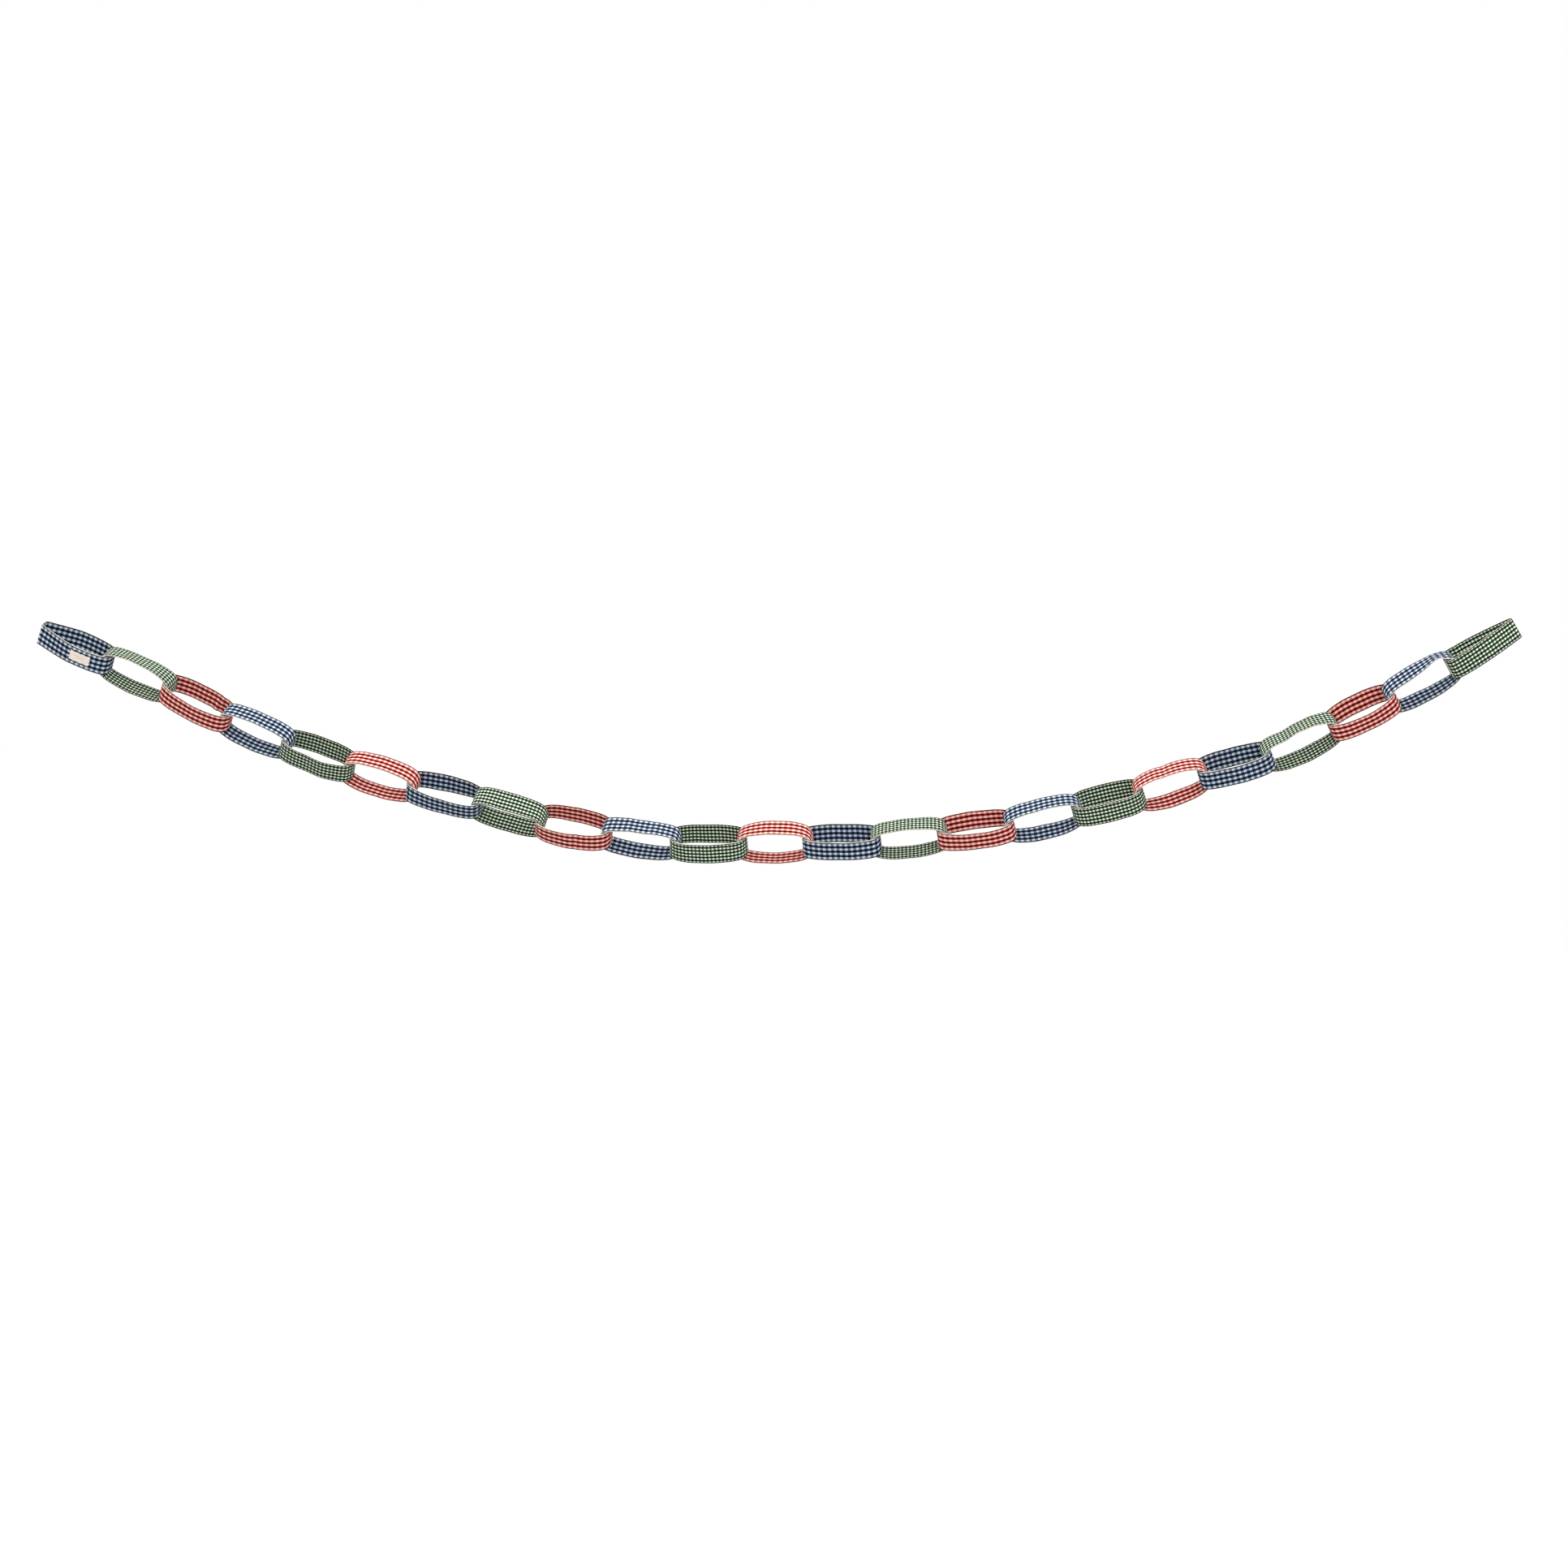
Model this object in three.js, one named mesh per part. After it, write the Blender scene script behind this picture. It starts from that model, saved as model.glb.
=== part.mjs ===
// A garland of 23 closed strip links, each one passed through the last, hung from its two end links.
// Millimetres, +Z up. The chain hangs in the XZ plane and runs along +X; its front faces -Y.
// The origin is the hanging point inside the left end of the first link.

import * as THREE from 'three';

// Driving dimensions
const stripWidth = 40;
const stripThickness = 1.5;
const hook = 7.5;             // how far each link reaches past the point where it crosses the next
const endSag = 4.8;           // how far a link's end has curved back at the edges of the strip it holds
const stationsPerLink = 40;
const cornerPull = 16;        // millimetres of wall that one radian of bend counts for when stations are spread
const lapLength = 16;
const lapRamp = 1.2;

const label = { from: 1, to: 41, low: -10, high: 10, thickness: 0.7, gap: 0.45, stations: 9 };

const halfWidth = stripWidth / 2;

// Slope of each link in degrees below the horizontal, its roll about the chain in degrees
// (0 stands the strip upright, facing front), the depth of its loop between the two walls,
// its reach from the crossing on its left to the crossing on its right, and its flare, how much
// deeper the loop is at its front edges, as a part of its depth.
const hang = [
  { slope: 23.5, roll: 28, depth: 59, reach: 131, flare: 0.03 },
  { slope: 24, roll: -61, depth: 62, reach: 127, flare: 0.07 },
  { slope: 26.5, roll: 37, depth: 64, reach: 126, flare: 0.03 },
  { slope: 23, roll: -55, depth: 62, reach: 126, flare: 0.01 },
  { slope: 20, roll: 36, depth: 65, reach: 126, flare: 0.05 },
  { slope: 16.5, roll: -54, depth: 67, reach: 126, flare: -0.02 },
  { slope: 14.5, roll: 43, depth: 62, reach: 127, flare: 0.06 },
  { slope: 15.5, roll: -33, depth: 74, reach: 124, flare: -0.03 },
  { slope: 10.5, roll: 45, depth: 69, reach: 126, flare: 0 },
  { slope: 7.5, roll: -50, depth: 60, reach: 129, flare: 0.04 },
  { slope: 0.5, roll: 31, depth: 72, reach: 125, flare: 0 },
  { slope: -1, roll: -56, depth: 68, reach: 122, flare: -0.05 },
  { slope: -1, roll: 34, depth: 60, reach: 126, flare: 0.03 },
  { slope: -6, roll: -57, depth: 61, reach: 123, flare: 0.02 },
  { slope: -7.5, roll: 38, depth: 63, reach: 125, flare: 0.05 },
  { slope: -13, roll: -52, depth: 65, reach: 126, flare: 0.05 },
  { slope: -14, roll: 27, depth: 78, reach: 118, flare: 0.02 },
  { slope: -18, roll: -53, depth: 68, reach: 121, flare: 0.05 },
  { slope: -15.5, roll: 34, depth: 62, reach: 122, flare: 0.03 },
  { slope: -24.5, roll: -55, depth: 61, reach: 130, flare: 0.09 },
  { slope: -26, roll: 38, depth: 66, reach: 117, flare: 0.07 },
  { slope: -29, roll: -54, depth: 62, reach: 125, flare: 0.01 },
  { slope: -30.5, roll: 14, depth: 60, reach: 125, flare: 0.03 },
];

// The two end links narrow towards their hangers: half the depth left at the tip, and its corner radius.
const leftTip = { halfDepth: 11, radius: 4, roll: 21 };
const rightTip = { halfDepth: 3, radius: 3, roll: 14 };
const tipEase = 1.4;

const finishes = [
  { name: 'blue', color: 0x6d7b9d, roughness: 0.9 },
  { name: 'green', color: 0x70826c, roughness: 0.9 },
  { name: 'red', color: 0xb85953, roughness: 0.9 },
];
const labelFinish = { color: 0xebdcc8, roughness: 0.85 };

const radians = THREE.MathUtils.degToRad;

// The middle line of the chain, through every crossing and one span past both ends.
const spans = [hang[0], ...hang, hang[hang.length - 1]];

function makeSpine() {
  const point = new THREE.Vector3();
  const points = [point.clone()];
  for (const { slope, reach } of spans) {
    point.x += reach * Math.cos(radians(slope));
    point.z -= reach * Math.sin(radians(slope));
    points.push(point.clone());
  }
  const origin = points[1].clone();
  points.forEach((crossing) => crossing.sub(origin));
  return new THREE.CatmullRomCurve3(points, false, 'centripetal');
}

const spine = makeSpine();

// Place and upward direction on the spine, a distance along from the middle of a link. Past a
// crossing the distance counts in the next span, so both links there follow the same line.
function spineFrame(linkIndex, along) {
  let span = linkIndex + 1;
  let distance = along + spans[span].reach / 2;
  if (distance < 0) {
    span -= 1;
    distance += spans[span].reach;
  } else if (distance > spans[span].reach) {
    distance -= spans[span].reach;
    span += 1;
  }
  const t = (span + distance / spans[span].reach) / spans.length;
  const tangent = spine.getTangent(t);
  const upward = new THREE.Vector3(-tangent.z, 0, tangent.x);
  return { origin: spine.getPoint(t), upward };
}

// Roll that the two links share at a crossing: their strips meet square, a quarter turn apart.
function rollAtCrossing(before, after) {
  const quarterTurn = before > after ? 90 : -90;
  return (before + after + quarterTurn) / 2;
}

// Roll at both ends of a link and halfway, from its neighbours' rolls.
function rollsOf(linkIndex) {
  const middle = hang[linkIndex].roll;
  const last = hang.length - 1;
  let left = leftTip.roll;
  let right = rightTip.roll;
  if (linkIndex > 0) {
    const before = hang[linkIndex - 1].roll;
    left = rollAtCrossing(before, middle) + (before > middle ? -90 : 90);
  }
  if (linkIndex < last) {
    right = rollAtCrossing(middle, hang[linkIndex + 1].roll);
  }
  return { left, middle, right, halfReach: hang[linkIndex].reach / 2 };
}

function rollAlong(rolls, along) {
  const x = THREE.MathUtils.clamp(along / rolls.halfReach, -1, 1);
  const lean = (rolls.right - rolls.left) / 2;
  const bow = (rolls.right + rolls.left) / 2 - rolls.middle;
  return radians(rolls.middle + lean * x + bow * x * x);
}

// The tip that a place along an end link narrows towards, or nothing on a plain end.
function tipAt(linkIndex, along) {
  if (linkIndex === 0 && along < 0) return leftTip;
  if (linkIndex === hang.length - 1 && along > 0) return rightTip;
  return null;
}

const halfLengthOf = (linkIndex) => hang[linkIndex].reach / 2 + hook;

// Half the depth of the loop at a place along it. A plain end is blunt, as wide as the strip it holds.
function halfDepthAt(linkIndex, along) {
  const halfLength = halfLengthOf(linkIndex);
  const halfDepth = hang[linkIndex].depth / 2;
  const x = Math.abs(along) / halfLength;
  const tip = tipAt(linkIndex, along);
  if (!tip) {
    const flat = 1 - endSag / halfLength;
    const squareness = Math.log(1 - flat * flat) / Math.log(halfWidth / halfDepth);
    return halfDepth * Math.pow(Math.max(0, 1 - x * x), 1 / squareness);
  }
  const wall = tip.halfDepth + (halfDepth - tip.halfDepth) * (1 - Math.pow(x, tipEase));
  const past = Math.max(0, Math.abs(along) - (halfLength - tip.radius));
  return wall - tip.radius + Math.sqrt(Math.max(0, tip.radius * tip.radius - past * past));
}

// The loop's middle line as many close points, going round from the right end over the back wall.
function loopPoints(linkIndex) {
  const halfLength = halfLengthOf(linkIndex);
  const fineSteps = 1440;
  const points = [];
  for (let i = 0; i < fineSteps; i++) {
    const angle = (2 * Math.PI * i) / fineSteps;
    const along = halfLength * Math.cos(angle);
    const onAxis = i % (fineSteps / 2) === 0;
    const across = onAxis ? 0 : Math.sign(Math.sin(angle)) * halfDepthAt(linkIndex, along);
    points.push(new THREE.Vector2(along, across));
  }
  return points;
}

// Spreads stations round a closed line by its length and its bend, so corners get more of them.
function spreadStations(points, count) {
  const weights = [0];
  for (let i = 0; i < points.length; i++) {
    const before = points[(i + points.length - 1) % points.length];
    const here = points[i];
    const after = points[(i + 1) % points.length];
    const arrive = here.clone().sub(before);
    const leave = after.clone().sub(here);
    const bend = Math.abs(Math.atan2(arrive.cross(leave), arrive.dot(leave)));
    weights.push(weights[i] + leave.length() + cornerPull * bend);
  }
  const total = weights[points.length];
  const stations = [];
  let i = 0;
  for (let k = 0; k < count; k++) {
    const target = (total * k) / count;
    while (weights[i + 1] < target) i++;
    const part = (target - weights[i]) / (weights[i + 1] - weights[i]);
    stations.push(points[i].clone().lerp(points[(i + 1) % points.length], part));
  }
  return stations;
}

function outwardNormal(before, after) {
  return new THREE.Vector2(after.y - before.y, before.x - after.x).normalize();
}

// Extra thickness where the strip's two ends lap over each other, in the middle of one end of the link.
function lapThickness(station, side, halfLength) {
  if (station.x * side < halfLength * 0.8) return 0;
  const inside = lapLength / 2 - Math.abs(station.y);
  return stripThickness * THREE.MathUtils.clamp(inside / lapRamp, 0, 1);
}

// A point of the loop, with its place across the strip's width, carried onto the spine.
function placePoint(linkIndex, rolls, flatPoint, across) {
  const along = flatPoint.x;
  const fade = Math.max(0, 1 - (along / halfLengthOf(linkIndex)) ** 2);
  const frontward = Math.sign(rolls.middle) * (across / halfWidth);
  const depth = flatPoint.y * (1 + hang[linkIndex].flare * fade * frontward);
  const frame = spineFrame(linkIndex, along);
  const roll = rollAlong(rolls, along);
  const rise = depth * Math.sin(roll) + across * Math.cos(roll);
  const back = depth * Math.cos(roll) - across * Math.sin(roll);
  return frame.origin.addScaledVector(frame.upward, rise).add(new THREE.Vector3(0, back, 0));
}

// Four corners of the strip's section: outer low, outer high, inner high, inner low.
function sectionCorners(linkIndex, rolls, station, normal, outer, inner, low, high) {
  const outside = station.clone().addScaledVector(normal, outer);
  const inside = station.clone().addScaledVector(normal, inner);
  return [
    placePoint(linkIndex, rolls, outside, low),
    placePoint(linkIndex, rolls, outside, high),
    placePoint(linkIndex, rolls, inside, high),
    placePoint(linkIndex, rolls, inside, low),
  ];
}

// Skins a row of four-cornered sections, as a closed ring or as a bar with two capped ends.
function skinSections(sections, closed, origin) {
  const positions = [];
  for (const corner of sections.flat()) {
    positions.push(...corner.clone().sub(origin).toArray());
  }
  const indices = [];
  const quad = (a, b, c, d) => indices.push(a, b, c, a, c, d);
  const spans = closed ? sections.length : sections.length - 1;
  for (let k = 0; k < spans; k++) {
    const here = 4 * k;
    const next = 4 * ((k + 1) % sections.length);
    for (let corner = 0; corner < 4; corner++) {
      const side = (corner + 1) % 4;
      quad(here + corner, next + corner, next + side, here + side);
    }
  }
  if (!closed) {
    const last = 4 * (sections.length - 1);
    quad(0, 1, 2, 3);
    quad(last + 3, last + 2, last + 1, last);
  }
  const geometry = new THREE.BufferGeometry();
  geometry.setAttribute('position', new THREE.Float32BufferAttribute(positions, 3));
  geometry.setIndex(indices);
  geometry.computeVertexNormals();
  return geometry;
}

function namedMesh(name, geometry, finish, origin) {
  const { color, roughness } = finish;
  const material = new THREE.MeshStandardMaterial({ color, roughness, metalness: 0 });
  const mesh = new THREE.Mesh(geometry, material);
  mesh.name = name;
  mesh.position.copy(origin);
  return mesh;
}

// One link: a strip bent into a loop, its ends lapped and joined inside the crossing, out of sight.
function makeLink(linkIndex) {
  const rolls = rollsOf(linkIndex);
  const stations = spreadStations(loopPoints(linkIndex), stationsPerLink);
  const lapSide = linkIndex === hang.length - 1 ? -1 : 1;
  const sections = stations.map((station, k) => {
    const before = stations[(k + stationsPerLink - 1) % stationsPerLink];
    const after = stations[(k + 1) % stationsPerLink];
    const normal = outwardNormal(before, after);
    const outer = stripThickness / 2 + lapThickness(station, lapSide, halfLengthOf(linkIndex));
    const inner = -stripThickness / 2;
    return sectionCorners(linkIndex, rolls, station, normal, outer, inner, -halfWidth, halfWidth);
  });
  const finish = finishes[linkIndex % finishes.length];
  const number = String(linkIndex + 1).padStart(2, '0');
  const origin = spineFrame(linkIndex, 0).origin;
  return namedMesh(`link_${number}_${finish.name}`, skinSections(sections, true, origin), finish, origin);
}

// The label sewn flat on the front wall of the first link.
function makeLabel() {
  const rolls = rollsOf(0);
  const spot = (along) => new THREE.Vector2(along, -halfDepthAt(0, along));
  const step = (label.to - label.from) / (label.stations - 1);
  const inner = stripThickness / 2 + label.gap;
  const sections = [];
  for (let k = 0; k < label.stations; k++) {
    const along = label.from + step * k;
    const normal = outwardNormal(spot(along - step / 2), spot(along + step / 2));
    const corners = [spot(along), normal, inner + label.thickness, inner, label.low, label.high];
    sections.push(sectionCorners(0, rolls, ...corners));
  }
  const origin = spineFrame(0, 0).origin;
  return namedMesh('sewn_label', skinSections(sections, false, origin), labelFinish, origin);
}

const garland = new THREE.Group();
for (let linkIndex = 0; linkIndex < hang.length; linkIndex++) {
  garland.add(makeLink(linkIndex));
}
garland.add(makeLabel());

export default garland;
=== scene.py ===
import math

import bpy
import numpy as np
from mathutils import Matrix, Vector


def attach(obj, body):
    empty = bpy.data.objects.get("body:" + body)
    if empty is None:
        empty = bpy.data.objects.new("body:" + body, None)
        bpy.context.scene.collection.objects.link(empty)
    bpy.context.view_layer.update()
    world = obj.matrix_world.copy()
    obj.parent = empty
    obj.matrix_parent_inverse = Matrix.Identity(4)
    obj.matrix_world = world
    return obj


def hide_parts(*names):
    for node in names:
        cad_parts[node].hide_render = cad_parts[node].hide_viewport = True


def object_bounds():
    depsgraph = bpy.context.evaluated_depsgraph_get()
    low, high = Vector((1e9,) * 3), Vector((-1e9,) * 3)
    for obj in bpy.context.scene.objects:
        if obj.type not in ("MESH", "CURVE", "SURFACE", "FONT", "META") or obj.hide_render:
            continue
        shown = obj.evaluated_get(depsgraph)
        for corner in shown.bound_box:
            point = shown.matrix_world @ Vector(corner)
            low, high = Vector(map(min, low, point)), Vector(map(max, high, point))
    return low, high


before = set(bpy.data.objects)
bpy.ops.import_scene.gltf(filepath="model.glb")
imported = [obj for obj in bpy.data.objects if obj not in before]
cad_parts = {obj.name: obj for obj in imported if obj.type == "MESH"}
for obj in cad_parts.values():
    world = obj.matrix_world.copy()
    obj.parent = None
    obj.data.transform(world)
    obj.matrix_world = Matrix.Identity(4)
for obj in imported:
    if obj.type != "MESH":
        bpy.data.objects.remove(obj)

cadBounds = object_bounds()
print("frame loaded:", len(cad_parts), "CAD nodes")

# The strip that every link is cut from. Lengths are in metres.
strip = {
    "width": 0.040,
    "thickness": 0.0015,
    "lap": 0.016,            # how far the two ends overlap
    "lapRise": 0.007,        # stretch over which the upper end climbs onto the lower one
    "lapGap": 0.0001,        # glue between the two layers of the lap
    "cellsAlong": 230,
    "cellsAcross": 8,
    "edgeRadius": 0.00025,
    "patternShift": 0.0137,  # how much further along the cloth each next link was cut
}

# How the chain hangs, link by link from the left: slope below the horizontal and roll about the chain
# in degrees, depth of the loop and reach between its two crossings in millimetres, and how much
# deeper the loop is at its front edges.
hang = [
    (23.5, 28, 59, 131, 0.03), (24, -61, 62, 127, 0.07), (26.5, 37, 64, 126, 0.03),
    (23, -55, 62, 126, 0.01), (20, 36, 65, 126, 0.05), (16.5, -54, 67, 126, -0.02),
    (14.5, 43, 62, 127, 0.06), (15.5, -33, 74, 124, -0.03), (10.5, 45, 69, 126, 0),
    (7.5, -50, 60, 129, 0.04), (0.5, 31, 72, 125, 0), (-1, -56, 68, 122, -0.05),
    (-1, 34, 60, 126, 0.03), (-6, -57, 61, 123, 0.02), (-7.5, 38, 63, 125, 0.05),
    (-13, -52, 65, 126, 0.05), (-14, 27, 78, 118, 0.02), (-18, -53, 68, 121, 0.05),
    (-15.5, 34, 62, 122, 0.03), (-24.5, -55, 61, 130, 0.09), (-26, 38, 66, 117, 0.07),
    (-29, -54, 62, 125, 0.01), (-30.5, 14, 60, 125, 0.03),
]
slopes, rolls, depths, reaches, flares = zip(*hang)
loop = {
    "hook": 0.0075,          # reach of a link past the crossing
    "endSag": 0.0048,        # how far its end has curved back at the edges of the strip it holds
    "leftTip": {"halfDepth": 0.011, "radius": 0.004, "roll": 21},
    "rightTip": {"halfDepth": 0.003, "radius": 0.003, "roll": 14},
    "tipEase": 1.4,
}
colourNames = ["blue", "green", "red"]

# Dents and bulges that handling left in single walls: place along the link from its middle, spread along
# the wall, push outwards (inwards if negative), and slant of the fold across the strip.
creases = [
    {"link": 3, "wall": "back", "at": 0.036, "spread": 0.005, "push": -0.0028, "slant": 0.35},
    {"link": 3, "wall": "back", "at": 0.046, "spread": 0.004, "push": 0.0018, "slant": 0.35},
    {"link": 5, "wall": "front", "at": -0.022, "spread": 0.022, "push": -0.0022, "slant": 0},
    {"link": 5, "wall": "front", "at": 0.026, "spread": 0.022, "push": 0.0020, "slant": 0},
    {"link": 9, "wall": "front", "at": 0.010, "spread": 0.005, "push": -0.0008, "slant": 0.1},
    {"link": 10, "wall": "front", "at": -0.022, "spread": 0.006, "push": 0.0008, "slant": -0.2},
    {"link": 10, "wall": "front", "at": 0.016, "spread": 0.006, "push": -0.0008, "slant": 0.2},
    {"link": 18, "wall": "front", "at": -0.008, "spread": 0.008, "push": -0.0013, "slant": 0.2},
    {"link": 20, "wall": "front", "at": -0.026, "spread": 0.017, "push": -0.0030, "slant": 0},
    {"link": 20, "wall": "front", "at": 0.006, "spread": 0.016, "push": 0.0020, "slant": 0},
    {"link": 20, "wall": "front", "at": 0.036, "spread": 0.016, "push": 0.0030, "slant": 0},
    {"link": 23, "wall": "back", "at": -0.040, "spread": 0.006, "push": -0.0045, "slant": -0.2},
]
# Places where one wall is twisted about its upper edge, by an angle in degrees.
twists = [
    {"link": 22, "wall": "front", "at": 0.045, "spread": 0.030, "turn": -12},
]
twistClearance = 0.012     # how soon a twist dies out towards a crossing
# Slight unevenness of every wall, and how its waves are shifted from link to link, from wall to wall and
# across the strip.
ripple = {"height": 0.00035, "length": 0.052, "byLink": 2.4, "byWall": 1.9, "byAcross": 25}

# ---- camera
cameraValues = {"target": (1.4017, 0.0, -0.2841), "azimuth": 6.0, "distance": 6.84, "lens": 85.0}


def addCamera(values):
    turn = math.radians(values["azimuth"])
    x, y, z = values["target"]
    place = (x + values["distance"] * math.sin(turn), y - values["distance"] * math.cos(turn), z)
    bpy.ops.object.camera_add(location=place, rotation=(math.radians(90), 0, turn))
    camera = bpy.context.object
    camera.data.lens = values["lens"]
    camera.data.clip_end = 200
    bpy.context.scene.camera = camera


addCamera(cameraValues)
print("camera placed")


# ---- the line the chain hangs along, as a table of places by distance from the left hanger
def catmullRom(p0, p1, p2, p3, t):
    gaps = [(b - a).length ** 0.5 for a, b in ((p0, p1), (p1, p2), (p2, p3))]
    leave = (p1 - p0) / gaps[0] - (p2 - p0) / (gaps[0] + gaps[1]) + (p2 - p1) / gaps[1]
    arrive = (p2 - p1) / gaps[1] - (p3 - p1) / (gaps[1] + gaps[2]) + (p3 - p2) / gaps[2]
    leave, arrive = leave * gaps[1], arrive * gaps[1]
    square = 3 * (p2 - p1) - 2 * leave - arrive
    cube = 2 * (p1 - p2) + leave + arrive
    return p1 + leave * t + square * t * t + cube * t ** 3


def makeSpine():
    spans = list(zip(slopes, reaches))
    spans = [spans[0]] + spans + [spans[-1]]     # carried on past both hangers
    crossings = [Vector((0, 0))]
    for slope, reach in spans:
        turn = math.radians(slope)
        crossings.append(crossings[-1] + Vector((math.cos(turn), -math.sin(turn))) * reach / 1000)
    crossings = [c - crossings[1] for c in crossings]
    padded = [2 * crossings[0] - crossings[1]] + crossings + [2 * crossings[-1] - crossings[-2]]
    distances, places = [], []
    start = -reaches[0] / 1000
    steps = 160     # to a link
    for i, (slope, reach) in enumerate(spans):
        for k in range(steps):
            distances.append(start + reach / 1000 * k / steps)
            places.append(catmullRom(*padded[i:i + 4], k / steps))
        start += reach / 1000
    distances.append(start)
    places.append(crossings[-1])
    places = np.array(places)
    tangents = np.gradient(places, np.array(distances), axis=0)
    tangents /= np.linalg.norm(tangents, axis=1)[:, None]
    return np.array(distances), places, tangents


spineDistances, spinePlaces, spineTangents = makeSpine()
crossingDistances = np.concatenate([[0], np.cumsum(reaches)]) / 1000


# ---- shape of one link
def linkFacts(index):
    roll, reach = rolls[index], reaches[index]
    left, right = loop["leftTip"]["roll"], loop["rightTip"]["roll"]
    if index > 0:
        quarter = -90 if rolls[index - 1] > roll else 90
        left = (rolls[index - 1] + roll + quarter) / 2
    if index < len(hang) - 1:
        quarter = 90 if roll > rolls[index + 1] else -90
        right = (roll + rolls[index + 1] + quarter) / 2
    return {
        "index": index,
        "name": f"link_{index + 1:02d}_{colourNames[index % 3]}",
        "middle": (crossingDistances[index] + crossingDistances[index + 1]) / 2,
        "halfReach": reach / 2000,
        "halfLength": reach / 2000 + loop["hook"],
        "halfDepth": depths[index] / 2000,
        "flare": flares[index],
        "rolls": (left, roll, right),
        "leftTip": loop["leftTip"] if index == 0 else None,
        "rightTip": loop["rightTip"] if index == len(hang) - 1 else None,
    }


def halfDepthAt(link, along):
    x = np.abs(along) / link["halfLength"]
    flat = 1 - loop["endSag"] / link["halfLength"]
    squareness = math.log(1 - flat * flat) / math.log(strip["width"] / 2 / link["halfDepth"])
    plain = link["halfDepth"] * np.maximum(0, 1 - x * x) ** (1 / squareness)
    for tip, side in ((link["leftTip"], -1), (link["rightTip"], 1)):
        if tip:
            wall = tip["halfDepth"] + (link["halfDepth"] - tip["halfDepth"]) * (1 - x ** loop["tipEase"])
            past = np.maximum(0, np.abs(along) - (link["halfLength"] - tip["radius"]))
            narrowed = wall - tip["radius"] + np.sqrt(np.maximum(0, tip["radius"] ** 2 - past ** 2))
            plain = np.where(along * side > 0, narrowed, plain)
    return plain


# Middle line of the loop from the lap round and back to it, by distance along the cloth.
def loopLine(link, lapSide):
    steps = 2880
    angles = 2 * np.pi * np.arange(steps + 1) / steps + (0 if lapSide > 0 else np.pi)
    along = link["halfLength"] * np.cos(angles)
    side = np.sign(np.round(np.sin(angles), 9))
    points = np.column_stack([along, side * halfDepthAt(link, along)])
    lengths = np.concatenate([[0], np.cumsum(np.linalg.norm(np.diff(points, axis=0), axis=1))])
    return lengths, points


# How far a wall stands out from its smooth line, which is nothing at the crossings, where links rest
# in each other.
def pushAt(link, along, depth, across):
    fade = np.maximum(0, 1 - (along / link["halfReach"]) ** 2) ** 1.5
    phase = link["index"] * ripple["byLink"] + np.where(depth > 0, 0, ripple["byWall"])
    wave = np.sin(2 * np.pi * along / ripple["length"] + phase + across * ripple["byAcross"])
    push = ripple["height"] * wave * (0 if link["index"] == 0 else 1)
    for crease in creases:
        if crease["link"] == link["index"] + 1:
            onWall = depth > 0 if crease["wall"] == "back" else depth < 0
            off = (along - crease["at"] - crease["slant"] * across) / crease["spread"]
            push = push + np.where(onWall, crease["push"] * np.exp(-off ** 2), 0)
    return push * fade


def twistAt(link, along, depth):
    turn = np.zeros_like(along)
    clear = np.maximum(0, link["halfReach"] - np.abs(along)) / twistClearance
    for twist in twists:
        if twist["link"] == link["index"] + 1:
            onWall = depth > 0 if twist["wall"] == "back" else depth < 0
            off = (along - twist["at"]) / twist["spread"]
            turn = turn + np.where(onWall, np.radians(twist["turn"]) * np.exp(-off ** 2), 0)
    return turn * (1 - np.exp(-clear ** 2))


# Carries points of the flat loop, each with a place across the strip, onto the hanging line.
def placeOnSpine(link, along, depth, across):
    fade = np.maximum(0, 1 - (along / link["halfLength"]) ** 2)
    left, middle, right = link["rolls"]
    frontward = np.sign(middle) * across / (strip["width"] / 2)
    depth = depth * (1 + link["flare"] * fade * frontward)
    x = np.clip(along / link["halfReach"], -1, 1)
    roll = np.radians(middle + (right - left) / 2 * x + ((right + left) / 2 - middle) * x * x)
    rise = depth * np.sin(roll) + across * np.cos(roll)
    back = depth * np.cos(roll) - across * np.sin(roll)
    distance = link["middle"] + along
    placeX, placeZ = (np.interp(distance, spineDistances, spinePlaces[:, k]) for k in (0, 1))
    tangentX, tangentZ = (np.interp(distance, spineDistances, spineTangents[:, k]) for k in (0, 1))
    return np.column_stack([placeX - rise * tangentZ, back, placeZ + rise * tangentX])


def deselectAll():
    if bpy.context.object and bpy.context.object.mode != "OBJECT":
        bpy.ops.object.mode_set(mode="OBJECT")
    bpy.ops.object.select_all(action="DESELECT")


def applyModifier(piece, kind, **settings):
    modifier = piece.modifiers.new(kind.title(), kind)
    for key, value in settings.items():
        setattr(modifier, key, value)
    bpy.ops.object.modifier_apply(modifier=modifier.name)


# Gives a sheet its thickness, half to each side, with its sharp edges rounded over.
def thicken(piece, thickness, edgeRadius, segments, **rim):
    applyModifier(piece, "SOLIDIFY", thickness=thickness, offset=0, **rim)
    sharp = {"limit_method": "ANGLE", "angle_limit": math.radians(50)}
    applyModifier(piece, "BEVEL", width=edgeRadius, segments=segments, **sharp)
    bpy.ops.object.shade_smooth_by_angle(angle=math.radians(40))


def addFlatStrip(name, length, width, cellsAlong, cellsAcross):
    deselectAll()
    bpy.ops.mesh.primitive_grid_add(size=1, x_subdivisions=cellsAlong, y_subdivisions=cellsAcross)
    piece = bpy.context.object
    piece.name = piece.data.name = name
    piece.scale = (length, width, 1)
    piece.location = (length / 2, 0, 0)
    bpy.ops.object.transform_apply(location=True, rotation=False, scale=True)
    return piece


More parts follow.
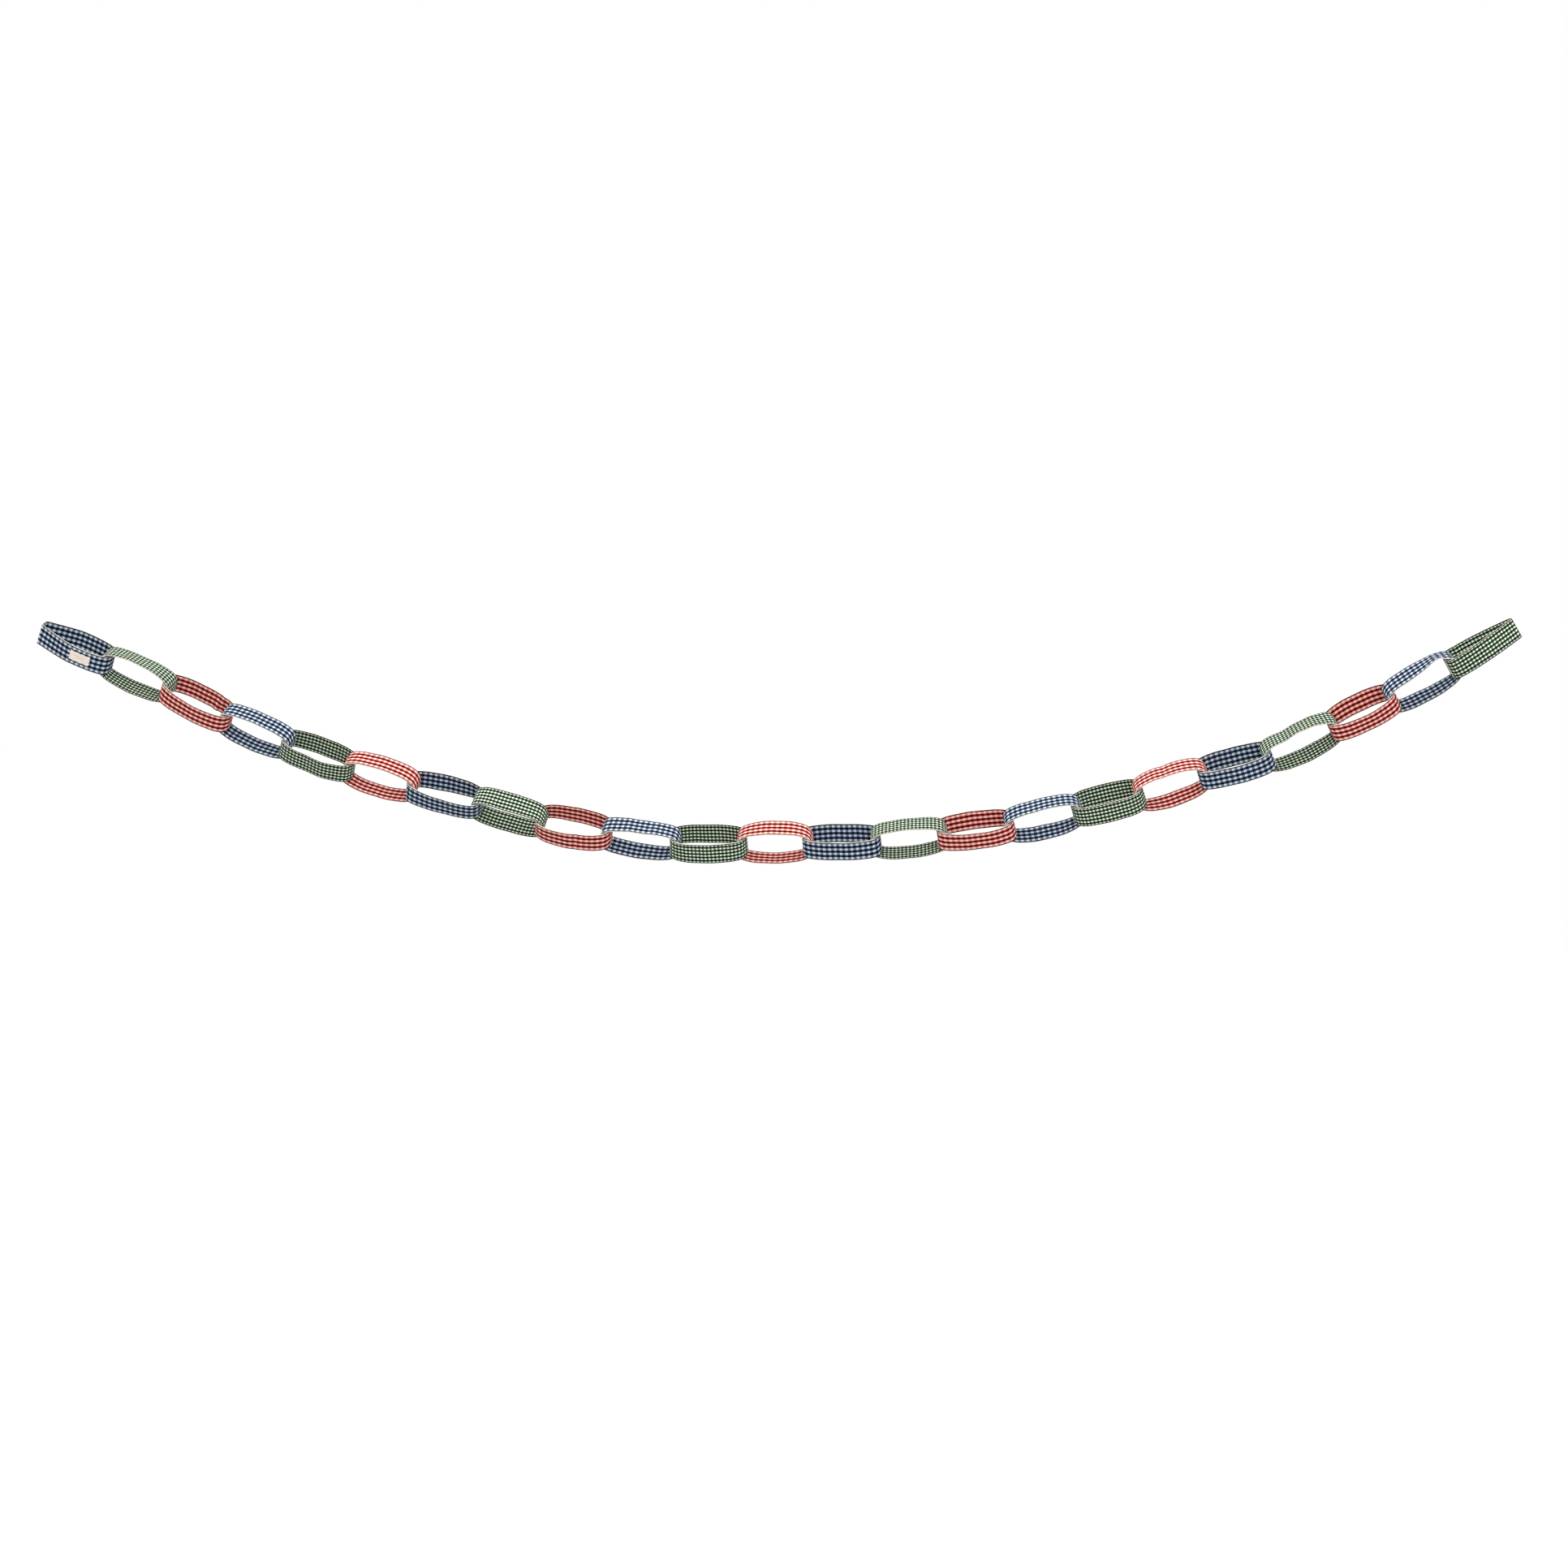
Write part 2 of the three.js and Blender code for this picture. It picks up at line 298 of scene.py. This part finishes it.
def flatCoordinates(piece):
    co = np.empty(len(piece.data.vertices) * 3, np.float32)
    piece.data.vertices.foreach_get("co", co)
    return co.reshape(-1, 3).astype(float)


# The cloth's own coordinates in metres, so that a check keeps its real size however the strip bends.
def writeClothUv(piece, flat, shift):
    loops = np.empty(len(piece.data.loops), np.int32)
    piece.data.loops.foreach_get("vertex_index", loops)
    uv = flat[loops][:, :2] + np.array(shift)
    piece.data.uv_layers[0].data.foreach_set("uv", uv.astype(np.float32).ravel())
    piece.data.uv_layers[0].name = "cloth"


def moveVertices(piece, points):
    piece.data.vertices.foreach_set("co", points.astype(np.float32).ravel())
    piece.data.update()


def makeLink(index):
    link = linkFacts(index)
    lapSide = -1 if index == len(hang) - 1 else 1
    lengths, points = loopLine(link, lapSide)
    loopLength = lengths[-1]
    flatLength = loopLength + strip["lap"]
    name = link["name"].replace("link", "strip")
    piece = addFlatStrip(name, flatLength, strip["width"], strip["cellsAlong"], strip["cellsAcross"])
    flat = flatCoordinates(piece)
    writeClothUv(piece, flat, (strip["patternShift"] * index, 0))
    distance = flat[:, 0] - strip["lap"] / 2

    def pointAt(place):
        wrapped = np.mod(place, loopLength)
        return np.column_stack([np.interp(wrapped, lengths, points[:, k]) for k in (0, 1)])

    along, depth = pointAt(distance).T
    near = 0.0008
    tangent = pointAt(distance + near) - pointAt(distance - near)
    tangent /= np.linalg.norm(tangent, axis=1)[:, None]
    climbStart = loopLength - strip["lap"] / 2 - strip["lapRise"]
    climb = np.clip((distance - climbStart) / strip["lapRise"], 0, 1)
    lift = (strip["thickness"] + strip["lapGap"]) * climb * climb * (3 - 2 * climb)
    lift = lift + pushAt(link, along, depth, flat[:, 1])
    turn = twistAt(link, along, depth)
    along = along + tangent[:, 1] * lift
    below = flat[:, 1] - strip["width"] / 2
    depth = depth - tangent[:, 0] * lift - below * np.sin(turn)
    across = strip["width"] / 2 + below * np.cos(turn)
    moveVertices(piece, placeOnSpine(link, along, depth, across))
    piece.data.materials.append(materials[colourNames[index % 3]])
    piece.data.materials.append(materials["cutEdge"])
    thicken(piece, strip["thickness"], strip["edgeRadius"], segments=1, material_offset_rim=1)
    return piece, link, flatLength


# ---- materials
def newMaterial(name, roughness, specular):
    material = bpy.data.materials.new(name)
    material.use_nodes = True
    shader = material.node_tree.nodes["Principled BSDF"]
    shader.inputs["Roughness"].default_value = roughness
    shader.inputs["Specular IOR Level"].default_value = specular
    return material, material.node_tree, shader


def bumpInto(tree, shader, height, strength, distance):
    bump = tree.nodes.new("ShaderNodeBump")
    bump.inputs["Strength"].default_value = strength
    bump.inputs["Distance"].default_value = distance
    tree.links.new(height, bump.inputs["Height"])
    tree.links.new(bump.outputs[0], shader.inputs["Normal"])


def groupNode(tree, group, cloth):
    node = tree.nodes.new("ShaderNodeGroup")
    node.node_tree = group
    tree.links.new(cloth, node.inputs["Cloth"])
    return node


# The cloth's own coordinates.
def clothNode(tree):
    node = tree.nodes.new("ShaderNodeUVMap")
    node.uv_map = "cloth"
    return node.outputs[0]


def mathNode(tree, operation, first, second=None, clamp=False):
    node = tree.nodes.new("ShaderNodeMath")
    node.operation = operation
    node.use_clamp = clamp
    for socket, value in zip(node.inputs, (first, second)):
        if value is None:
            continue
        if isinstance(value, (int, float)):
            socket.default_value = value
        else:
            tree.links.new(value, socket)
    return node.outputs[0]


def mixNode(tree, factor, first, second):
    node = tree.nodes.new("ShaderNodeMix")
    node.data_type = "RGBA"
    for socket, value in ((node.inputs[0], factor), (node.inputs[6], first), (node.inputs[7], second)):
        if isinstance(value, (int, float, tuple)):
            socket.default_value = value
        else:
            tree.links.new(value, socket)
    return node.outputs[2]


# Brings a value that runs from low to high onto 0 to 1.
def rampNode(tree, value, low, high):
    above = mathNode(tree, "SUBTRACT", value, low)
    return mathNode(tree, "MULTIPLY", above, 1 / (high - low), clamp=True)


def noiseNode(tree, vector, scale):
    node = tree.nodes.new("ShaderNodeTexNoise")
    node.inputs["Scale"].default_value = scale
    tree.links.new(vector, node.inputs["Vector"])
    return node.outputs["Fac"]


def scaleColour(tree, colour, factor):
    node = tree.nodes.new("ShaderNodeVectorMath")
    node.operation = "SCALE"
    tree.links.new(colour, node.inputs[0])
    tree.links.new(factor, node.inputs["Scale"])
    return node.outputs[0]


def newGroup(name, inputs, outputs):
    group = bpy.data.node_groups.new(name, "ShaderNodeTree")
    for direction, sockets in (("INPUT", inputs), ("OUTPUT", outputs)):
        for socket, kind in sockets:
            group.interface.new_socket(socket, in_out=direction, socket_type="NodeSocket" + kind)
    return group, group.nodes.new("NodeGroupInput").outputs, group.nodes.new("NodeGroupOutput").inputs


weaveShade = {
    "ground": 0.80,
    "threads": 0.16,         # how much each of these adds
    "slubs": 0.16,
    "stains": 0.10,
    "slubScale": 240,
    "stainScale": 18,
    "slubHeight": 0.8,
}


# Plain weave seen close: over and under threads, with slubs. Puts out a shade about 1 and a height.
def makeWeaveGroup():
    group, inputs, outputs = newGroup("plainWeave", [("Cloth", "Vector"), ("Thread", "Float")],
                                      [("Shade", "Float"), ("Checker", "Float"), ("Height", "Float")])
    separate = group.nodes.new("ShaderNodeSeparateXYZ")
    group.links.new(inputs["Cloth"], separate.inputs[0])
    waves = []
    for axis in (0, 1):
        threads = mathNode(group, "DIVIDE", separate.outputs[axis], inputs["Thread"])
        waves.append(mathNode(group, "SINE", mathNode(group, "MULTIPLY", threads, math.pi)))
    checker = mathNode(group, "MULTIPLY", waves[0], waves[1])
    height = mathNode(group, "ABSOLUTE", checker)
    slub = noiseNode(group, inputs["Cloth"], weaveShade["slubScale"])
    stain = noiseNode(group, inputs["Cloth"], weaveShade["stainScale"])
    shade = weaveShade["ground"]
    for part, name in ((height, "threads"), (slub, "slubs"), (stain, "stains")):
        shade = mathNode(group, "ADD", mathNode(group, "MULTIPLY", part, weaveShade[name]), shade)
    group.links.new(shade, outputs["Shade"])
    group.links.new(checker, outputs["Checker"])
    height = mathNode(group, "ADD", height, mathNode(group, "MULTIPLY", slub, weaveShade["slubHeight"]))
    group.links.new(height, outputs["Height"])
    return group


checks = {
    "wander": 0.0011,                 # how far the bands stray
    "wanderScale": 45,
    "contrast": 3.2,
    "width": (0.75, 0.95),            # of the bands across and along the strip, where 0.5 is even
    "fleck": 0.5,                     # how far single threads show where only one way is dyed
    "edgeLine": (0.0177, 0.0181),     # where the dark line at the cut sides begins and is full
    "edgeShade": 0.8,
}


# Gingham: bands of dyed thread both ways. Squares where both are dyed come out dark, one way middling
# and none light. The cut sides carry a dark line.
def makeGinghamGroup(weaveGroup):
    group, inputs, outputs = newGroup(
        "gingham",
        [("Cloth", "Vector"), ("Period", "Float"), ("Thread", "Float"), ("Dark", "Color"),
         ("Lengthwise", "Color"), ("Crosswise", "Color"), ("Light", "Color")],
        [("Color", "Color"), ("Height", "Float")])
    wander = mathNode(group, "SUBTRACT", noiseNode(group, inputs["Cloth"], checks["wanderScale"]), 0.5)
    drift = mathNode(group, "MULTIPLY", wander, checks["wander"])
    separate = group.nodes.new("ShaderNodeSeparateXYZ")
    group.links.new(inputs["Cloth"], separate.inputs[0])
    weave = groupNode(group, weaveGroup, inputs["Cloth"])
    group.links.new(inputs["Thread"], weave.inputs["Thread"])
    bands = []
    for axis, width in enumerate(checks["width"]):
        place = mathNode(group, "ADD", separate.outputs[axis], drift)
        repeats = mathNode(group, "DIVIDE", place, inputs["Period"])
        turn = mathNode(group, "MULTIPLY", repeats, 2 * math.pi)
        wave = mathNode(group, "MULTIPLY", mathNode(group, "COSINE", turn), checks["contrast"])
        bands.append(mathNode(group, "ADD", wave, width, clamp=True))
    colour = mixNode(group, bands[0], inputs["Light"], inputs["Crosswise"])
    dyed = mixNode(group, bands[0], inputs["Lengthwise"], inputs["Dark"])
    colour = mixNode(group, bands[1], colour, dyed)
    anyWay = mathNode(group, "MAXIMUM", bands[0], bands[1])
    bothWays = mathNode(group, "MULTIPLY", bands[0], bands[1])
    oneWay = mathNode(group, "SUBTRACT", anyWay, bothWays)
    fleck = mathNode(group, "MULTIPLY", weave.outputs["Checker"], oneWay)
    fleck = mathNode(group, "MULTIPLY", fleck, checks["fleck"])
    colour = scaleColour(group, colour, mathNode(group, "ADD", weave.outputs["Shade"], fleck))
    edgeShade = mathNode(group, "MULTIPLY", weave.outputs["Shade"], checks["edgeShade"])
    edge = scaleColour(group, inputs["Dark"], edgeShade)
    side = rampNode(group, mathNode(group, "ABSOLUTE", separate.outputs[1]), *checks["edgeLine"])
    colour = mixNode(group, side, colour, edge)
    group.links.new(colour, outputs["Color"])
    group.links.new(weave.outputs["Height"], outputs["Height"])
    return group


def ginghamMaterial(name, group, values):
    material, tree, shader = newMaterial(name, cloth["roughness"], cloth["specular"])
    weave = groupNode(tree, group, clothNode(tree))
    weave.inputs["Period"].default_value = values["period"]
    weave.inputs["Thread"].default_value = values["thread"]
    for socket in ("Dark", "Lengthwise", "Crosswise", "Light"):
        weave.inputs[socket].default_value = (*values[socket.lower()], 1)
    tree.links.new(weave.outputs["Color"], shader.inputs["Base Color"])
    bumpInto(tree, shader, weave.outputs["Height"], strength=0.4, distance=0.0002)
    return material


# Undyed cotton fibre, for the core that shows at the cut sides of the strips and for sewing thread.
def fibreMaterial(name, values):
    material, tree, shader = newMaterial(name, cloth["roughness"], cloth["specular"])
    place = tree.nodes.new("ShaderNodeTexCoord").outputs["Object"]
    fibre = noiseNode(tree, place, values["scale"])
    colour = mixNode(tree, fibre, (*values["shaded"], 1), (*values["lit"], 1))
    tree.links.new(colour, shader.inputs["Base Color"])
    bumpInto(tree, shader, fibre, strength=0.5, distance=0.0003)
    return material


cloth = {"roughness": 0.95, "specular": 0.02}     # every woven or fibrous surface
ginghams = {
    "blue": {
        "period": 0.0101,
        "thread": 0.00045,
        "dark": (0.001, 0.004, 0.019),
        "lengthwise": (0.035, 0.052, 0.098),
        "crosswise": (0.15, 0.20, 0.275),
        "light": (0.63, 0.69, 0.73),
    },
    "green": {
        "period": 0.00705,
        "thread": 0.00045,
        "dark": (0.002, 0.008, 0.004),
        "lengthwise": (0.028, 0.052, 0.026),
        "crosswise": (0.16, 0.235, 0.145),
        "light": (0.83, 0.89, 0.75),
    },
    "red": {
        "period": 0.0101,
        "thread": 0.00045,
        "dark": (0.085, 0.001, 0.0005),
        "lengthwise": (0.25, 0.017, 0.015),
        "crosswise": (0.80, 0.28, 0.24),
        "light": (1.0, 0.66, 0.59),
    },
}
fibres = {
    "cutEdge": {"scale": 900, "shaded": (0.64, 0.57, 0.47), "lit": (0.92, 0.86, 0.76)},
    "stitch": {"scale": 2500, "shaded": (0.70, 0.60, 0.48), "lit": (0.95, 0.88, 0.78)},
}
weaveGroup = makeWeaveGroup()
ginghamGroup = makeGinghamGroup(weaveGroup)
materials = {}
for name, values in ginghams.items():
    materials[name] = ginghamMaterial(name + "Gingham", ginghamGroup, values)
materials["cutEdge"] = fibreMaterial("creamCore", fibres["cutEdge"])
materials["stitch"] = fibreMaterial("stitchThread", fibres["stitch"])
print("materials made")

# ---- links
for index in range(len(hang)):
    piece, link, flatLength = makeLink(index)
    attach(piece, "root")
    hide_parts(link["name"])
print("links made:", len(hang))

# ---- label, sewn flat on the front wall of the first link
label = {
    "from": 0.001,            # its two ends along the link, from the link's middle
    "to": 0.041,
    "low": -0.010,            # its lower and upper sides across the strip
    "high": 0.010,
    "thickness": 0.0006,
    "edgeRadius": 0.00015,
    "lift": 0.0005,           # middle of the label above the cloth
    "ripple": 0.0006,
    "stitchInset": 0.0016,
    "stitchPitch": 0.0026,
    "stitchSize": (0.0016, 0.0004, 0.00035),
    "cellsAlong": 48,
    "cellsAcross": 24,
    "thread": 0.0003,
    "colour": (0.88, 0.80, 0.71, 1),
    "lineColour": (0.78, 0.33, 0.28, 1),
    "lineEdge": (0.0009, 0.0004),     # from a line's middle, where it begins and is full
    "lineStrength": 0.55,
    "lineEnd": 0.001,
    "lines": [(0.0025, 0.008, 0.033), (-0.0015, 0.013, 0.028)],   # across, left end, right end
}


# Carries a place on the flat label to the front face of the first link, lifted off its middle line.
def placeOnFrontWall(link, along, across, lift):
    depth = -halfDepthAt(link, along)
    step = 0.001
    rise = -(halfDepthAt(link, along + step) - halfDepthAt(link, along - step)) / (2 * step)
    slant = np.sqrt(1 + rise ** 2)
    return placeOnSpine(link, along + rise / slant * lift, depth - lift / slant, across)


def labelMaterial():
    material, tree, shader = newMaterial("cottonTape", cloth["roughness"], cloth["specular"])
    place = clothNode(tree)
    weave = groupNode(tree, weaveGroup, place)
    weave.inputs["Thread"].default_value = label["thread"]
    separate = tree.nodes.new("ShaderNodeSeparateXYZ")
    tree.links.new(place, separate.inputs[0])
    colour = label["colour"]
    for across, left, right in label["lines"]:      # faint woven lines
        off = mathNode(tree, "ABSOLUTE", mathNode(tree, "SUBTRACT", separate.outputs[1], across))
        near = rampNode(tree, off, *label["lineEdge"])
        mask = mathNode(tree, "MULTIPLY", near, label["lineStrength"])
        begin = rampNode(tree, separate.outputs[0], left, left + label["lineEnd"])
        end = rampNode(tree, separate.outputs[0], right, right - label["lineEnd"])
        mask = mathNode(tree, "MULTIPLY", mathNode(tree, "MULTIPLY", begin, end), mask)
        colour = mixNode(tree, mask, colour, label["lineColour"])
    tree.links.new(scaleColour(tree, colour, weave.outputs["Shade"]), shader.inputs["Base Color"])
    bumpInto(tree, shader, weave.outputs["Height"], strength=0.4, distance=0.00015)
    return material


def makeLabel(link):
    length, width = label["to"] - label["from"], label["high"] - label["low"]
    piece = addFlatStrip("cottonLabel", length, width, label["cellsAlong"], label["cellsAcross"])
    flat = flatCoordinates(piece)
    writeClothUv(piece, flat, (0, 0))
    x, y = flat[:, 0], flat[:, 1]
    # Its sides wander a little where they were cut, and the cloth between the stitches isn't quite flat.
    ends = np.abs(x / length * 2 - 1) ** 8
    sides = np.abs(y / width * 2) ** 8
    along = label["from"] + x + ends * label["ripple"] * np.sin(y * 900 + 1)
    across = (label["low"] + label["high"]) / 2 + y + sides * label["ripple"] * np.sin(x * 520 + y * 60)
    lift = strip["thickness"] / 2 + label["lift"] + 0.0001 * np.sin(x * 400) * np.sin(y * 500)
    moveVertices(piece, placeOnFrontWall(link, along, across, lift))
    piece.data.materials.append(materials["label"])
    thicken(piece, label["thickness"], label["edgeRadius"], segments=2)
    return piece, (width, length)


# Running stitch round the label, one small bead of thread copied along its four sides.
def makeStitches(link):
    deselectAll()
    bpy.ops.mesh.primitive_uv_sphere_add(segments=8, ring_count=6, radius=0.5)
    bead = bpy.context.object
    bead.scale = label["stitchSize"]
    bpy.ops.object.transform_apply(location=False, rotation=False, scale=True)
    inset, pitch = label["stitchInset"], label["stitchPitch"]
    left, right = label["from"] + inset, label["to"] - inset
    low, high = label["low"] + inset, label["high"] - inset
    places = []
    for k in range(round((right - left) / pitch)):
        places += [(left + pitch * (k + 0.5), low, 0), (left + pitch * (k + 0.5), high, 0)]
    for k in range(round((high - low) / pitch)):
        places += [(left, low + pitch * (k + 0.5), 1), (right, low + pitch * (k + 0.5), 1)]
    stitches = []
    near = 0.0005
    lift = strip["thickness"] / 2 + label["lift"] + label["thickness"] / 2
    for along, across, upright in places:
        spots = [(along, across), (along + near, across), (along, across + near)]
        alongs, acrosses = (np.array([spot[k] for spot in spots]) for k in (0, 1))
        middle, onward, upward = (Vector(p) for p in placeOnFrontWall(link, alongs, acrosses, lift))
        axes = [(onward - middle).normalized(), (upward - middle).normalized()]
        if upright:
            axes.reverse()
        axes.append(axes[0].cross(axes[1]))
        stitch = bead.copy()
        stitch.data = bead.data.copy()
        stitch.matrix_world = Matrix.Translation(middle) @ Matrix(axes).transposed().to_4x4()
        bpy.context.collection.objects.link(stitch)
        stitches.append(stitch)
    bpy.data.objects.remove(bead)
    deselectAll()
    for stitch in stitches:
        stitch.select_set(True)
    bpy.context.view_layer.objects.active = stitches[0]
    bpy.ops.object.join()
    piece = bpy.context.object
    bpy.ops.object.transform_apply(location=True, rotation=True, scale=True)
    bpy.ops.object.mode_set(mode="EDIT")
    bpy.ops.mesh.select_all(action="SELECT")
    bpy.ops.mesh.normals_make_consistent(inside=False)
    bpy.ops.object.mode_set(mode="OBJECT")
    bpy.ops.object.shade_smooth()
    piece.name = piece.data.name = "labelStitches"
    piece.data.materials.append(materials["stitch"])
    return piece


materials["label"] = labelMaterial()
firstLink = linkFacts(0)
labelPiece, labelFlat = makeLabel(firstLink)
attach(labelPiece, "root")
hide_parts("sewn_label")
stitchPiece = makeStitches(firstLink)
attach(stitchPiece, "root")
print("label sewn on")


# ---- stage
stage = {"floorDrop": 1.5, "floorSize": 60, "colour": (0.9, 0.9, 0.9, 1), "glow": 0.6}


def addStage(values):
    deselectAll()
    lowest = cadBounds[0].z
    centre = (cadBounds[0] + cadBounds[1]) / 2
    place = (centre.x, 0, lowest - values["floorDrop"])
    bpy.ops.mesh.primitive_plane_add(size=values["floorSize"], location=place)
    floor = bpy.context.object
    floor.name = "floor"
    material, _, shader = newMaterial("paleFloor", roughness=0.9, specular=0.5)
    shader.inputs["Base Color"].default_value = values["colour"]
    shader.inputs["Emission Color"].default_value = (1, 1, 1, 1)
    shader.inputs["Emission Strength"].default_value = values["glow"]
    floor.data.materials.append(material)
    floor.visible_diffuse = False


lights = [
    {"name": "keyLight", "place": (0.6, -2.6, 2.6), "size": 3.0, "power": 70},
    {"name": "fillLight", "place": (3.4, -4.0, 0.6), "size": 3.0, "power": 60},
]
room = {"level": 0.90, "slope": 0.36}     # even room light, stronger from above


def addLights():
    aim = Vector(cameraValues["target"])
    for values in lights:
        bpy.ops.object.light_add(type="AREA", location=values["place"])
        light = bpy.context.object
        light.name = values["name"]
        light.data.size = values["size"]
        light.data.energy = values["power"]
        light.rotation_euler = (aim - light.location).to_track_quat("-Z", "Y").to_euler()


def setWorld():
    world = bpy.data.worlds.new("softStudio")
    bpy.context.scene.world = world
    world.use_nodes = True
    nodes, links = world.node_tree.nodes, world.node_tree.links
    background = nodes["Background"]
    height = nodes.new("ShaderNodeSeparateXYZ")
    links.new(nodes.new("ShaderNodeTexCoord").outputs["Generated"], height.inputs[0])
    lit = mathNode(world.node_tree, "MULTIPLY", height.outputs[2], room["slope"])
    lit = mathNode(world.node_tree, "ADD", lit, room["level"])
    strength = nodes.new("ShaderNodeMix")
    links.new(nodes.new("ShaderNodeLightPath").outputs["Is Camera Ray"], strength.inputs[0])
    links.new(lit, strength.inputs[2])
    strength.inputs[3].default_value = 1.0
    links.new(strength.outputs[0], background.inputs["Strength"])
    background.inputs["Color"].default_value = (1, 1, 1, 1)
    bpy.context.scene.view_settings.view_transform = "Standard"


addStage(stage)
addLights()
setWorld()
print("stage and lights placed")
